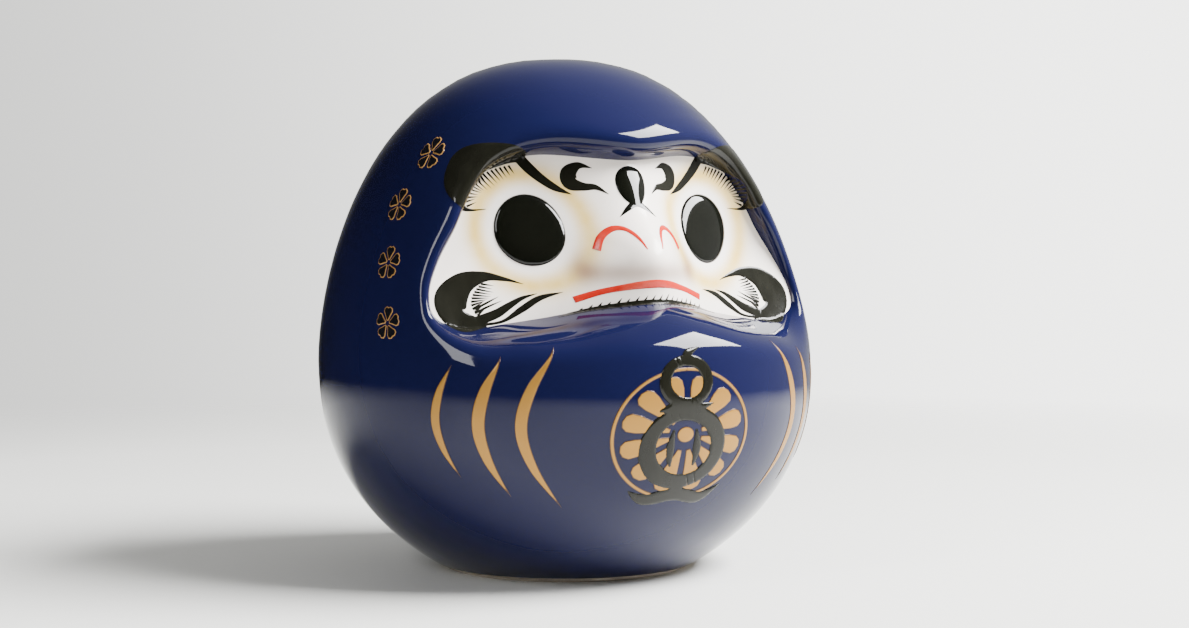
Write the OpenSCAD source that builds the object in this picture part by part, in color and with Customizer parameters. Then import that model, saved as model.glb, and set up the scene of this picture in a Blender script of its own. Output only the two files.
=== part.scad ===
// Glazed ceramic daruma doll, made as a money box: a hollow slip-cast
// body with a coin slot behind the head and a rubber stopper underneath.
// Origin: centre of the foot, on the table. The doll faces -Y, +Z is up,
// and "right" and "left" are the doll's own.

/* [Doll] */
// Height over the hood
body_h = 150; // [125:1:200]
// Width across the robe
body_w = 146.6; // [122:1:200]
// Width across the foot
foot_w = 73; // [60:1:90]

/* [Wall and finish] */
// Thickness of the ceramic wall
wall = 4.5; // [3:0.5:6]
// Thickness of the coloured glazes
glaze = 0.8; // [0.6:0.1:1.2]
// How far the painted enamel stands proud of the glaze
enamel = 0.3; // [0.2:0.05:0.5]
// Height of the bare clay left under the robe's glaze
bare_h = 1.5; // [1:0.25:3]

/* [Coin slot] */
// Length of the slot
slot_l = 34; // [28:1:38]
// Width of the slot
slot_w = 5; // [4.5:0.25:7]
// Depth of the slot's middle below the hood's top
slot_drop = 45; // [38:1:55]

/* [Stopper] */
// Bore of the hole in the base
bore_d = 28; // [22:1:32]
// Radial gap between the plug and the bore
plug_gap = 0.08; // [0.02:0.02:0.1]
// Length of the plug above the flange
plug_l = 9; // [7:0.5:14]
// Width of the stopper's flange
flange_d = 36; // [34:1:44]
// Thickness of the stopper's flange
flange_t = 2; // [1.5:0.25:3]
// Thickness of the floor around the bore
floor_t = 5; // [4:0.5:8]
// Depth of the recess under the foot
recess_d = 3.4; // [2.8:0.2:5]
// Width of the foot ring that stands on the table
ring_w = 5.5; // [4:0.5:8]

/* [Robe artwork] */
// Height of the crest's middle above the table
crest_z = 45; // [38:1:50]
// Width of the crest
crest_w = 42.8; // [34:0.2:44]
// Height of the crest
crest_h = 36.4; // [28:0.2:38]
// Number of petals in the crest
petal_count = 12; // [8:1:16]

/* [Hidden] */

blue = [0.07, 0.11, 0.38];
white = [0.95, 0.92, 0.91];
black = [0.04, 0.04, 0.04];
red = [0.80, 0.22, 0.16];
gold = [0.78, 0.58, 0.33];
clay = [0.88, 0.85, 0.80];

// The sculpture and its artwork are drawn at these sizes, and follow the
// doll's width and height when they change.
art_w = 146.6;
art_h = 150;
kx = body_w / art_w;
kz = body_h / art_h;

// Egg-shaped body: widest at waist_z, blunt on top, tucked in to the foot.
robe_r = art_w / 2;
waist_z = 61;
foot_r = foot_w / 2 / kx;
tuck_z = waist_z / pow(1 - pow(foot_r / robe_r, 1.67), 1 / 2.33);
// How far the top of the hood sits back from the foot
hood_back = 6.2;
// Centre of the face, from which its grid spreads
face_z = 99;
// Width of the rounded lip between the face and the hood
lip_w = 8;
// Right half of the face's edge, from the top, as x and z
edge_half = [[0, 119.5], [24, 121], [37, 117.5], [44, 109.5], [49, 100], [54.5, 91], [58, 83],
             [57.5, 76.5], [50, 73], [39, 74.2], [28, 75.9], [14, 78.7], [0, 80]];
face_edge = concat(edge_half, [for (i = [len(edge_half) - 2 : -1 : 1]) [-edge_half[i][0], edge_half[i][1]]]);

function clamp01(u) = min(1, max(0, u));
function smooth(u) = let (v = clamp01(u)) v * v * (3 - 2 * v);
function bell(u) = exp(-u * u);
function unit(v) = v / max(norm(v), 1e-9);

// Radius of the body at height z, drawn round the leaning centre line
function body_r(z) = z > waist_z
    ? robe_r * pow(max(0, 1 - pow((z - waist_z) / (art_h - waist_z), 1.65)), 1 / 2.42)
    : robe_r * pow(max(0, 1 - pow((waist_z - z) / tuck_z, 2.33)), 1 / 1.67);
function lean(z) = hood_back * smooth((z - 40) / 110);

// Depth of the body's front and of the face, measured forward of the foot's centre
function body_front(x, z, r) = sqrt(max(0, r * r - x * x)) - lean(z);
function face_front(x, z) = 27.5 + 0.12 * (97 - z) + 0.008 * pow(max(0, 97 - z), 2)
    + 11.5 * bell(x / 27)
    + 9 * bell(norm([x / 34, (z - 80) / 15]))
    + 7 * bell(norm([x / 15, (z - 94) / 9]))
    + 6 * bell(norm([x / 12, (z - 99) / 20]));

// Closed smooth curve through points, with k steps to each stretch
function curve_at(a, b, c, d, t) = 0.5 * (2 * b + (c - a) * t + (2 * a - 5 * b + 4 * c - d) * t * t
    + (3 * b - a - 3 * c + d) * t * t * t);
function ring_curve(p, k) = let (n = len(p)) [for (i = [0 : n - 1]) for (j = [0 : k - 1])
    curve_at(p[(i + n - 1) % n], p[i], p[(i + 1) % n], p[(i + 2) % n], j / k)];
// Open smooth curve through points, at u from 0 to 1
function path_at(p, u) = let (n = len(p) - 1, s = min(n - 1, floor(u * n)), t = u * n - s)
    curve_at(p[max(0, s - 1)], p[s], p[s + 1], p[min(n, s + 2)], t);

// The lip falls from the hood to the face over lip(n, x), where n points outward
// at x on the face's edge. It is widest under the mouth.
function lip(n, x) = lip_w * (1 + 0.4 * max(0, n[1]) + 0.5 * max(0, -n[1]) * (1 + bell(x / 24)));
function lip_mix(u) = pow(1 - clamp01(u), 3);

// Distance outside the face's edge, with the outward direction there
fine_edge = ring_curve(face_edge, 4);
function edge_gap(q) = let (
    n = len(fine_edge),
    near = [for (i = [0 : n - 1]) let (a = fine_edge[i], ab = fine_edge[(i + 1) % n] - a,
        t = clamp01((q - a) * ab / (ab * ab))) norm(q - a - ab * t)],
    gap = min(near),
    i = [for (i = [0 : n - 1]) if (near[i] == gap) i][0],
    ab = unit(fine_edge[(i + 1) % n] - fine_edge[i]),
    out = [-ab[1], ab[0]])
    [(q - fine_edge[i]) * out < 0 ? -gap : gap, out];

// Depth of the finished surface at x and z
function skin_depth(x, z) = let (
    e = edge_gap([x, z]),
    m = e[0] <= 0 ? 1 : lip_mix(e[0] / lip(e[1], x - e[0] * e[1][0])))
    m * face_front(x, z) + (1 - m) * body_front(x, z, body_r(z));
function in_model(x, depth, z) = [x * kx, -depth * kx, z * kz];
function skin(q) = in_model(q[0], skin_depth(q[0], q[1]), q[1]);
// A point on the robe's side, at an angle from the front and a height
function side_point(q) = let (r = body_r(q[1]))
    in_model(r * sin(q[0]), r * cos(q[0]) - lean(q[1]), q[1]);
// A point on the robe's front, given the same way, which follows the lip too
function robe_point(q) = skin([body_r(q[1]) * sin(q[0]), q[1]]);
// Outward direction at q, where place(q) puts a flat drawing on the doll
function normal_at(place, q) = let (h = 0.4)
    unit(cross(place(q + [h, 0]) - place(q - [h, 0]), place(q + [0, h]) - place(q - [0, h])));

// Where a ray from the face's centre, inside the body, leaves a body of scale k
function outside(p, k) = let (z = art_h / 2 + (p[2] - art_h / 2) / k)
    z >= art_h || z <= waist_z - tuck_z ? true
        : norm([p[0], p[1] - lean(p[2])]) > body_r(z) * k;
function ray_reach(dir, k, lo = 0, hi = 180, steps = 22) = steps == 0 ? (lo + hi) / 2
    : let (mid = (lo + hi) / 2) outside([0, 0, face_z] + dir * mid, k)
        ? ray_reach(dir, k, lo, mid, steps - 1) : ray_reach(dir, k, mid, hi, steps - 1);

// Rows of points over the whole doll: the face from its centre to its edge,
// the lip, then round the body to the middle of the back. For the cavity, k
// shrinks the body, back moves the face inward and grow moves the lip's upper
// and lower runs outward, so that the wall keeps its thickness there.
face_rows = [0.14, 0.28, 0.4, 0.52, 0.64, 0.76, 0.88, 1];
lip_rows = [0.1, 0.25, 0.45, 0.7, 1];
back_rows = 14;
edge_row = len(face_rows) - 1;
function doll_rows(per, k = 1, back = 0, grow = 0) = let (
    edge = ring_curve(face_edge, per),
    n = len(edge),
    out = [for (i = [0 : n - 1]) let (t = unit(edge[(i + 1) % n] - edge[(i + n - 1) % n])) [-t[1], t[0]]],
    mid = [0, face_z],
    rim = [for (i = [0 : n - 1]) edge[i] + out[i] * (grow == 0 ? lip(out[i], edge[i][0])
        : 0.6 * lip(out[i], edge[i][0]) + grow * abs(out[i][1]))],
    front = function (q, m) let (r = body_r(art_h / 2 + (q[1] - art_h / 2) / k) * k)
        [q[0], -(m * (face_front(q[0], q[1]) - back) + (1 - m) * body_front(q[0], q[1], r)), q[1]])
    concat(
        [for (s = face_rows) [for (i = [0 : n - 1]) front(mid + (edge[i] - mid) * s, 1)]],
        [for (u = lip_rows) [for (i = [0 : n - 1])
            front(edge[i] + (rim[i] - edge[i]) * u, lip_mix(grow == 0 ? u : 2 * u - 1))]],
        [for (a = [1 : back_rows]) [for (i = [0 : n - 1]) let (
            v = front(rim[i], 0) - [0, 0, face_z],
            from_front = acos(-v[1] / norm(v)),
            turn = atan2(v[2], v[0]),
            angle = from_front + (180 - from_front) * a / (back_rows + 0.5),
            dir = [sin(angle) * cos(turn), -cos(angle), sin(angle) * sin(turn)])
            [0, 0, face_z] + dir * ray_reach(dir, k)]]);
function scaled(rows) = [for (row = rows) [for (p = row) [p[0] * kx, p[1] * kx, p[2] * kz]]];
function row_normals(rows) = let (m = len(rows), n = len(rows[0])) [for (i = [0 : m - 1]) [for (j = [0 : n - 1])
    unit(cross(rows[i][(j + 1) % n] - rows[i][(j + n - 1) % n],
               rows[min(m - 1, i + 1)][j] - rows[max(0, i - 1)][j]))]];
function sunk(rows, depth) = let (nn = row_normals(rows))
    [for (i = [0 : len(rows) - 1]) [for (j = [0 : len(rows[0]) - 1]) rows[i][j] - nn[i][j] * depth]];
function mean(row) = let (n = len(row)) [for (a = [0 : 2]) [for (p = row) p[a]] * [for (p = row) 1] / n];
function flat_list(rows) = [for (row = rows) each row];

// Triangles between rows of n points, the first starting at point "from"
function bands(m, n, from, flip) = [for (i = [0 : m - 2]) for (j = [0 : n - 1]) let (
    a = from + i * n + j, b = from + i * n + (j + 1) % n, c = a + n, d = b + n)
    each flip ? [[a, b, d], [a, d, c]] : [[a, d, b], [a, c, d]]];
function fan(n, from, tip, flip) = [for (j = [0 : n - 1]) let (a = from + j, b = from + (j + 1) % n)
    flip ? [a, tip, b] : [a, b, tip]];

// Closed solid whose surface is rows of points, closed at both ends
module closed_rows(rows) {
    m = len(rows);
    n = len(rows[0]);
    polyhedron(concat(flat_list(rows), [mean(rows[0]), mean(rows[m - 1])]),
        concat(bands(m, n, 0, false), fan(n, 0, m * n, false), fan(n, (m - 1) * n, m * n + 1, true)));
}
// Shell between two sets of rows, open at one end or closed there over the pole
module shell_rows(outer, inner, pole_first) {
    m = len(outer);
    n = len(outer[0]);
    all = m * n;
    tip_row = pole_first ? 0 : m - 1;
    rim_row = pole_first ? m - 1 : 0;
    polyhedron(concat(flat_list(outer), flat_list(inner), [mean(outer[tip_row]), mean(inner[tip_row])]),
        concat(bands(m, n, 0, false), bands(m, n, all, true),
            fan(n, tip_row * n, 2 * all, !pole_first), fan(n, all + tip_row * n, 2 * all + 1, pole_first),
            [for (j = [0 : n - 1]) let (a = rim_row * n + j, b = rim_row * n + (j + 1) % n)
                each pole_first ? [[a, b + all, b], [a, a + all, b + all]]
                                : [[a, b, b + all], [a, b + all, a + all]]]));
}

// Enamel on the surface: rows of points drawn flat, placed on the doll,
// raised by the enamel's thickness and sunk a little way into the glaze
bite = 0.45;
face_place = function (q) skin(q);
function raised(rows, place, lift) = [for (row = rows) [for (q = row) place(q) + normal_at(place, q) * lift]];
module enamel_patch(rows, place) {
    m = len(rows);
    n = len(rows[0]);
    all = m * n;
    polyhedron(concat(flat_list(raised(rows, place, enamel)), flat_list(raised(rows, place, -bite))), concat(
        [for (i = [0 : m - 2]) for (j = [0 : n - 2]) let (a = i * n + j)
            each [[a, a + n + 1, a + 1], [a, a + n, a + n + 1],
                  [all + a, all + a + 1, all + a + n + 1], [all + a, all + a + n + 1, all + a + n]]],
        [for (i = [0 : m - 2]) for (j = [0, n - 1]) let (a = i * n + j)
            each j == 0 ? [[a, all + a + n, a + n], [a, all + a, all + a + n]]
                        : [[a, a + n, all + a + n], [a, all + a + n, all + a]]],
        [for (j = [0 : n - 2]) for (i = [0, m - 1]) let (a = i * n + j)
            each i == 0 ? [[a, a + 1, all + a + 1], [a, all + a + 1, all + a]]
                        : [[a, all + a + 1, a + 1], [a, all + a, all + a + 1]]]));
}
// A brush stroke along a path. left and right are its half widths from start
// to end, and every second station of a combed edge reaches out by comb.
module stroke(path, left, right, steps = 10, across = 1, comb = [0], place = face_place) {
    at = [for (i = [0 : steps]) path_at(path, i / steps)];
    turn = [for (i = [0 : steps]) let (t = unit(at[min(steps, i + 1)] - at[max(0, i - 1)])) [t[1], -t[0]]];
    wide = function (w, i) len(w) == 1 ? w[0] : path_at([for (v = w) [v, 0]], i / steps)[0];
    rows = [for (i = [0 : steps]) let (
        l = max(0.12, wide(left, i)), r = max(0.12, wide(right, i)) + (i % 2) * wide(comb, i))
        [for (j = [0 : across]) at[i] + turn[i] * (-l + (l + r) * j / across)]];
    enamel_patch(rows, place);
}
// A round or oval patch with a domed top
module disc_patch(mid, rx, rz, dome = 0, rows = 4, spokes = 28) {
    ring = function (s) [for (j = [0 : spokes - 1])
        mid + s * [rx * sin(j * 360 / spokes), rz * cos(j * 360 / spokes)]];
    levels = [for (i = [1 : rows]) i / rows];
    tops = [for (s = levels) raised([ring(s)], face_place, enamel + dome * (1 - s * s))[0]];
    bottoms = [for (s = levels) raised([ring(s)], face_place, -bite)[0]];
    tips = [raised([[mid]], face_place, enamel + dome)[0][0], raised([[mid]], face_place, -bite)[0][0]];
    m = rows;
    n = spokes;
    polyhedron(concat(flat_list(tops), flat_list(bottoms), tips), concat(
        bands(m, n, 0, false), bands(m, n, m * n, true),
        fan(n, 0, 2 * m * n, false), fan(n, m * n, 2 * m * n + 1, true),
        [for (j = [0 : n - 1]) let (a = (m - 1) * n + j, b = (m - 1) * n + (j + 1) % n)
            each [[a, b + m * n, b], [a, a + m * n, b + m * n]]]));
}
module each_side(s) {
    if (s < 0) children();
    else mirror([1, 0, 0]) children();
}

// ---- cast body -------------------------------------------------------------

per_edge = 2;
floor_top = recess_d + floor_t;

// Slot through the back of the wall, with round ends
module slot_cut() {
    z = body_h - slot_drop;
    reach = body_w;
    translate([0, 0, z]) union() {
        translate([-slot_l / 2 + slot_w / 2, 0, -slot_w / 2]) cube([slot_l - slot_w, reach, slot_w]);
        for (x = [-1, 1]) translate([x * (slot_l - slot_w) / 2, reach, 0])
            rotate([90, 0, 0]) cylinder(d = slot_w, h = reach, $fn = 48);
    }
}
module above(z) {
    translate([-body_w, -body_w, z]) cube([2 * body_w, 2 * body_w, 2 * body_h]);
}

module ceramic_body() {
    cast = sunk(scaled(doll_rows(per_edge)), glaze);
    hollow = scaled(doll_rows(1, 1 - wall / robe_r, wall + glaze, wall + 2));
    color(clay) difference() {
        union() {
            intersection() { closed_rows(cast); above(bare_h); }
            cylinder(d = foot_w, h = floor_top, $fn = 96);
        }
        intersection() { closed_rows(hollow); above(floor_top); }
        translate([0, 0, -1]) cylinder(d = bore_d, h = floor_top + 2, $fn = 96);
        translate([0, 0, -1]) cylinder(d = foot_w - 2 * ring_w, h = recess_d + 1, $fn = 96);
        slot_cut();
    }
}

// Cobalt glaze over the hood, the lip and the robe, down to the bare foot
module blue_glaze() {
    rows = scaled(doll_rows(per_edge));
    inner = sunk(rows, glaze);
    from = edge_row;
    pick = function (r) [for (i = [from : len(r) - 1]) r[i]];
    color(blue) difference() {
        intersection() { shell_rows(pick(rows), pick(inner), false); above(bare_h); }
        cylinder(d = foot_w, h = floor_top, $fn = 96);
        slot_cut();
    }
}

module white_face_glaze() {
    rows = scaled(doll_rows(per_edge));
    inner = sunk(rows, glaze);
    pick = function (r) [for (i = [0 : edge_row]) r[i]];
    color(white) shell_rows(pick(rows), pick(inner), true);
}

// ---- face artwork, drawn on the doll's right and mirrored -------------------

module pupil() {
    color(black) disc_patch([-28.2, 100], 9.3, 10, dome = 1.2);
}
// Bushy brow: a broad C over the lip, with combed hairs on its inner side
module brow() {
    color(black) stroke([[-39.5, 105.8], [-45.2, 105.9], [-47.9, 109.6], [-46.6, 114.8], [-41.6, 119.3],
                         [-34.2, 121.2], [-29, 120.6]],
        [0.1, 0.8, 2.9, 3.3, 4.2, 2.7, 0.8], [0.1, 0.6, 2.8, 3.2, 3.8, 3, 0.8],
        steps = 30, across = 3, comb = [0, 0.2, 1.6, 2, 2, 1.4, 0]);
}
module brow_stroke() {
    half = [1.4, 1.5, 1.2, 0.9, 0.1];
    color(black) stroke([[-30, 120.8], [-27, 117.6], [-23.6, 114.4], [-20, 111.8], [-15.9, 109.9]],
        half, half, steps = 10);
}
module forehead_mark() {
    half = [0.1, 1, 2, 1.9, 1.2, 0.7, 0.1];
    color(black) stroke([[-10.3, 117.4], [-13.6, 117.9], [-16.2, 116], [-16, 113.2], [-13, 112.1],
                         [-9.8, 111.9], [-6.9, 110]], half, half, steps = 16);
}
module bridge_mark() {
    color(black) union() {
        disc_patch([0, 112.3], 4.6, 5.6, dome = 0.6, rows = 2, spokes = 20);
        stroke([[-5.8, 103.6], [-2.8, 106], [0, 107.4], [2.8, 106], [5.8, 103.6]],
            [0.2, 0.5, 0.7, 0.5, 0.2], [0.2, 0.7, 0.8, 0.7, 0.2], steps = 8);
    }
}
module nose_line() {
    half = [0.85, 0.75, 0.7, 0.6, 0.5, 0.2];
    color(red) stroke([[-13.2, 94.5], [-11.6, 98], [-8.8, 100.3], [-6, 100.4], [-3.8, 98.3], [-2.4, 94.8]],
        half, half, steps = 14);
}
module mouth_line() {
    half = [0.9, 0.8, 1.15, 0.8, 0.9];
    color(red) stroke([[-20.2, 80.8], [-11.5, 83.6], [0, 85.3], [11.5, 83.6], [20.2, 80.8]],
        half, half, steps = 18);
}
module beard_strokes() {
    color(black) stroke([[19, 77.6], [11, 79.4], [0, 80.4], [-11, 79.4], [-19, 77.6]], [0.3, 0.5, 0.6, 0.5, 0.3],
        [0.3, 0.5, 0.6, 0.5, 0.3], steps = 30, comb = [0.6, 1.4, 1.8, 1.4, 0.6]);
}
// Cheek whisker: a blot on the cheek's lower corner, combed towards the nose,
// with a thin tail above and two hairs below
module whisker() {
    color(black) union() {
        stroke([[-43.2, 74.4], [-50.6, 75.4], [-52.2, 80.2], [-48.4, 85.4], [-42, 87.2], [-36.6, 86.5],
                [-31.7, 85.1]],
            [0.9, 2.9, 4.6, 2.9, 1.4, 0.6, 0.1], [0.8, 3, 3.9, 3.2, 1.4, 0.6, 0.1],
            steps = 28, across = 3, comb = [0, 0.6, 1.3, 1.5, 0.3, 0, 0]);
        stroke([[-45.5, 75], [-40, 77.2], [-36.4, 79.4], [-32.6, 81.4], [-28.7, 82.5]],
            [1.4, 1.4, 1, 0.6, 0.1], [1.4, 1.4, 1, 0.6, 0.1], steps = 8);
        stroke([[-44.6, 74.2], [-38.7, 75.2], [-33.1, 78.3], [-28.2, 81.3], [-22.4, 82.9]],
            [0.5, 0.5, 0.9, 0.7, 0.1], [0.5, 0.5, 0.9, 0.7, 0.1], steps = 8);
    }
}

// ---- robe artwork ----------------------------------------------------------

// Crescent folds of the robe: angle from the front, top, bottom, how far the
// middle swings back in degrees, and the width there
stripes = [[28, 69, 25, 8.5, 3.6], [40, 66.5, 28, 6, 4], [51.7, 64, 33, 4.5, 3]];
module robe_stripe(k) {
    s = stripes[k];
    arc = 180 / PI / robe_r;
    spine = [for (u = [0, 0.25, 0.5, 0.75, 1]) [-(s[3] / arc) * sin(180 * u), s[1] + (s[2] - s[1]) * u]];
    half = [0.1, 0.4, 0.5, 0.38, 0.1] * s[4];
    color(gold) stroke(spine, half, half, steps = 14,
        place = function (q) robe_point([q[0] * arc - s[0], q[1]]));
}
crest_mid = crest_z / kz;
crest_r = crest_w / 2 / kx - 0.6;
crest_flat = crest_h / crest_w * kx / kz;
function crest_point(r, a) = [r * sin(a), crest_mid + r * cos(a) * crest_flat];
module crest_ring() {
    steps = 48;
    line = 0.6;
    ring = function (r) [for (i = [0 : steps - 1]) crest_point(r, i * 360 / steps)];
    rows = [ring(crest_r - line), ring(crest_r + line)];
    tops = raised(rows, face_place, enamel);
    bottoms = raised(rows, face_place, -bite);
    color(gold) polyhedron(concat(flat_list(tops), bottoms[1], bottoms[0]),
        concat(bands(4, steps, 0, false), [for (j = [0 : steps - 1]) let (
            a = 3 * steps + j, b = 3 * steps + (j + 1) % steps, c = j, d = (j + 1) % steps)
            each [[a, d, b], [a, c, d]]]));
}
module crest_petals() {
    tip = crest_r - 2.2;
    half = PI * tip / petal_count * 0.55;
    color(gold) for (i = [0 : petal_count - 1]) let (a = (i + 0.5) * 360 / petal_count)
        stroke([for (r = [4.2, tip * 0.45, tip * 0.75, tip]) crest_point(r, a)],
            half * [0.25, 0.6, 1, 0.45], half * [0.25, 0.6, 1, 0.45], steps = 5);
}
module crest_hub() {
    color(gold) disc_patch([0, crest_mid], 2.6, 2.6, rows = 1, spokes = 16);
}
// Brushed gourd over the crest: two loops, the cord round its waist, its stem,
// two short strokes inside it and a swash below it
module belly_motif() {
    half_loop = function (z, rx, rz, s) [for (a = [s : 40 : s + 200]) [rx * sin(a), crest_mid + z + rz * cos(a)]];
    at = function (p) [for (q = p) [q[0], crest_mid + q[1]]];
    color(black) union() {
        for (s = [-10, 170]) {
            stroke(half_loop(14.4, 6.6, 5.8, s), [1.4], [1.4], steps = 12);
            stroke(half_loop(-3.6, 11, 9.6, s), [1.9], [1.9], steps = 16);
        }
        stroke(at([[-8.5, 6.6], [-3, 7.6], [3, 7.2], [9, 8.4]]), [0.5, 1.7, 1.4, 0.3], [0.5, 1.7, 1.4, 0.3]);
        stroke(at([[0, 19], [0.6, 22], [4.4, 23.6]]), [1.4, 1.2, 0.2], [1.4, 1.2, 0.2], steps = 6);
        for (x = [-3.6, 3.4]) stroke(at([[x, 1.4], [x * 1.2, -4], [x, -9]]), [0.4, 1.3, 0.5], [0.4, 1.3, 0.5], steps = 6);
        stroke(at([[-14.2, -15.5], [-9, -18], [0, -16.8], [8, -18.2], [14.4, -15]]),
            [0.3, 1.6, 1.9, 1.6, 0.2], [0.3, 1.6, 1.9, 1.6, 0.2], steps = 12);
        stroke(at([[0, -12.2], [0, -15.6]]), [1.5], [1.5], steps = 2);
    }
}
// Plum blossoms down the side of the robe: angle from the front and height
blossoms = [[68.5, 121.5], [73.5, 107], [72, 91], [69.5, 74.5]];
module side_blossoms() {
    half = [0.5, 1.3, 1.8, 0.8];
    color(black) for (b = blossoms) let (
        arc = 180 / PI / body_r(b[1]),
        place = function (q) side_point([q[0] * arc - b[0], b[1] + q[1]]))
        for (i = [0 : 4]) let (d = [cos(90 + 72 * i), sin(90 + 72 * i)])
            stroke([d * 0.9, d * 1.8, d * 3.2, d * 4.4], half, half, steps = 4, place = place);
}

// ---- stopper ---------------------------------------------------------------

// Hollow rubber plug with a flange and a finger bar across its cup
module stopper() {
    plug_r = bore_d / 2 - plug_gap;
    cup_r = plug_r - 3;
    flange_z = recess_d - flange_t - 0.3;
    plug_top = flange_z + flange_t + 0.3 + plug_l;
    bar_w = 4;
    color([0.85, 0.84, 0.8]) union() {
        rotate_extrude($fn = 96) polygon([
            [0, plug_top - 2.5], [cup_r, plug_top - 2.5], [cup_r, flange_z + 0.6], [cup_r + 0.6, flange_z],
            [flange_d / 2 - 0.6, flange_z], [flange_d / 2, flange_z + 0.6], [flange_d / 2, flange_z + flange_t],
            [plug_r, flange_z + flange_t], [plug_r, plug_top - 1.5], [plug_r - 1.5, plug_top], [0, plug_top]]);
        translate([-cup_r - 0.5, -bar_w / 2, flange_z + 0.4]) cube([2 * cup_r + 1, bar_w, plug_top - flange_z - 1.5]);
    }
}

ceramic_body();
blue_glaze();
white_face_glaze();
bridge_mark();
mouth_line();
beard_strokes();
crest_ring();
crest_petals();
crest_hub();
belly_motif();
each_side(-1) pupil();  // right_pupil
each_side(1) pupil();  // left_pupil
each_side(-1) brow();  // right_brow
each_side(1) brow();  // left_brow
each_side(-1) brow_stroke();  // right_brow_stroke
each_side(1) brow_stroke();  // left_brow_stroke
each_side(-1) forehead_mark();  // right_forehead_mark
each_side(1) forehead_mark();  // left_forehead_mark
each_side(-1) nose_line();  // right_nose_line
each_side(1) nose_line();  // left_nose_line
each_side(-1) whisker();  // right_whisker
each_side(1) whisker();  // left_whisker
each_side(-1) robe_stripe(0);  // right_robe_stripe_1
each_side(1) robe_stripe(0);  // left_robe_stripe_1
each_side(-1) robe_stripe(1);  // right_robe_stripe_2
each_side(1) robe_stripe(1);  // left_robe_stripe_2
each_side(-1) robe_stripe(2);  // right_robe_stripe_3
each_side(1) robe_stripe(2);  // left_robe_stripe_3
each_side(-1) side_blossoms();  // right_side_blossoms
each_side(1) side_blossoms();  // left_side_blossoms
stopper();
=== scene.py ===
import math

import bmesh
import bpy
import numpy as np
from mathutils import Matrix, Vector, geometry


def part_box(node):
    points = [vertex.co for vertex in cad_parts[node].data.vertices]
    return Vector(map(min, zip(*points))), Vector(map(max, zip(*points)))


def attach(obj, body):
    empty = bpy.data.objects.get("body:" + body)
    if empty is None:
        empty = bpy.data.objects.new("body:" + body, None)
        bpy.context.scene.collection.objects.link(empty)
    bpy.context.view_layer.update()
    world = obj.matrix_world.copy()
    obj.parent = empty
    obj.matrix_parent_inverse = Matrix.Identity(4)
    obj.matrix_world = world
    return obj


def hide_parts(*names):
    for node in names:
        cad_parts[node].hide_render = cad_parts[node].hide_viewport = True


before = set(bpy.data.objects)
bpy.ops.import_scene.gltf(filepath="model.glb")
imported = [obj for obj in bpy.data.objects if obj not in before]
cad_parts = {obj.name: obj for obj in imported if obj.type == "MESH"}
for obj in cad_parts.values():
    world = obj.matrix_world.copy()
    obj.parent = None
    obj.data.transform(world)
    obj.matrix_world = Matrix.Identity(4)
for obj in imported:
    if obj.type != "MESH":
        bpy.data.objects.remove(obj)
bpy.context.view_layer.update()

# ---- table, light and camera ------------------------------------------------
# The doll stands alone on a pale table. A softbox hangs over its left
# shoulder, a tall narrow one stands off to its right, and a faint one fills
# in from above.

scene = bpy.context.scene


def place_camera(spot, tilt_deg, turn_deg, lens):
    eye = bpy.data.objects.new("camera", bpy.data.cameras.new("camera"))
    eye.location = spot
    eye.rotation_euler = (math.radians(90 - tilt_deg), 0, math.radians(-turn_deg))
    eye.data.lens = lens
    eye.data.sensor_width = 36
    eye.data.clip_start = 0.01
    scene.collection.objects.link(eye)
    scene.camera = eye


place_camera(spot=(-0.3140, -0.6168, 0.1106), tilt_deg=3.0, turn_deg=27.69, lens=70.5)


AIM_Z = 0.08


def softbox(name, bearing_deg, height_deg, distance, width, height, watts, seen=True):
    """A rectangular light. Its bearing is turned from the doll's front towards its left."""
    bearing, rise = math.radians(bearing_deg), math.radians(height_deg)
    level = math.cos(rise)
    away = Vector((math.sin(bearing) * level, -math.cos(bearing) * level, math.sin(rise)))
    light = bpy.data.lights.new(name, "AREA")
    light.shape = "RECTANGLE"
    light.size, light.size_y, light.energy = width, height, watts
    box = bpy.data.objects.new(name, light)
    box.location = Vector((0, 0, AIM_Z)) + away * distance
    box.rotation_euler = (-away).to_track_quat("-Z", "Y").to_euler()
    scene.collection.objects.link(box)
    box.visible_glossy = seen


softbox("key_softbox", 57, 45, 0.95, 0.70, 0.40, 64)
softbox("side_softbox", -70, 28, 0.95, 0.16, 0.55, 4.5)
softbox("top_fill", 0, 88, 1.5, 1.6, 1.6, 3, seen=False)


class Wire:
    """A number running through a material, so that sums on it can be written as plain expressions."""

    def __init__(self, tree, socket):
        self.tree, self.socket = tree, socket

    def sum(self, operation, *others):
        node = self.tree.nodes.new("ShaderNodeMath")
        node.operation = operation
        for inlet, value in zip(node.inputs, others):
            if isinstance(value, Wire):
                self.tree.links.new(value.socket, inlet)
            else:
                inlet.default_value = value
        return Wire(self.tree, node.outputs[0])

    def __add__(self, other):
        return self.sum("ADD", self, other)

    def __radd__(self, other):
        return self.sum("ADD", other, self)

    def __sub__(self, other):
        return self.sum("SUBTRACT", self, other)

    def __rsub__(self, other):
        return self.sum("SUBTRACT", other, self)

    def __mul__(self, other):
        return self.sum("MULTIPLY", self, other)

    def __rmul__(self, other):
        return self.sum("MULTIPLY", other, self)

    def __truediv__(self, other):
        return self.sum("DIVIDE", self, other)

    def __pow__(self, other):
        return self.sum("POWER", self, other)

    def size(self):
        return self.sum("ABSOLUTE", self)

    def root(self):
        return self.sum("SQRT", self)

    def kept(self):
        """Held between 0 and 1."""
        return self.sum("MINIMUM", self.sum("MAXIMUM", self, 0), 1)

    def bell(self):
        """1 where the number is 0, falling away on both sides."""
        return self.sum("EXPONENT", -1 * self * self)


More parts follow.
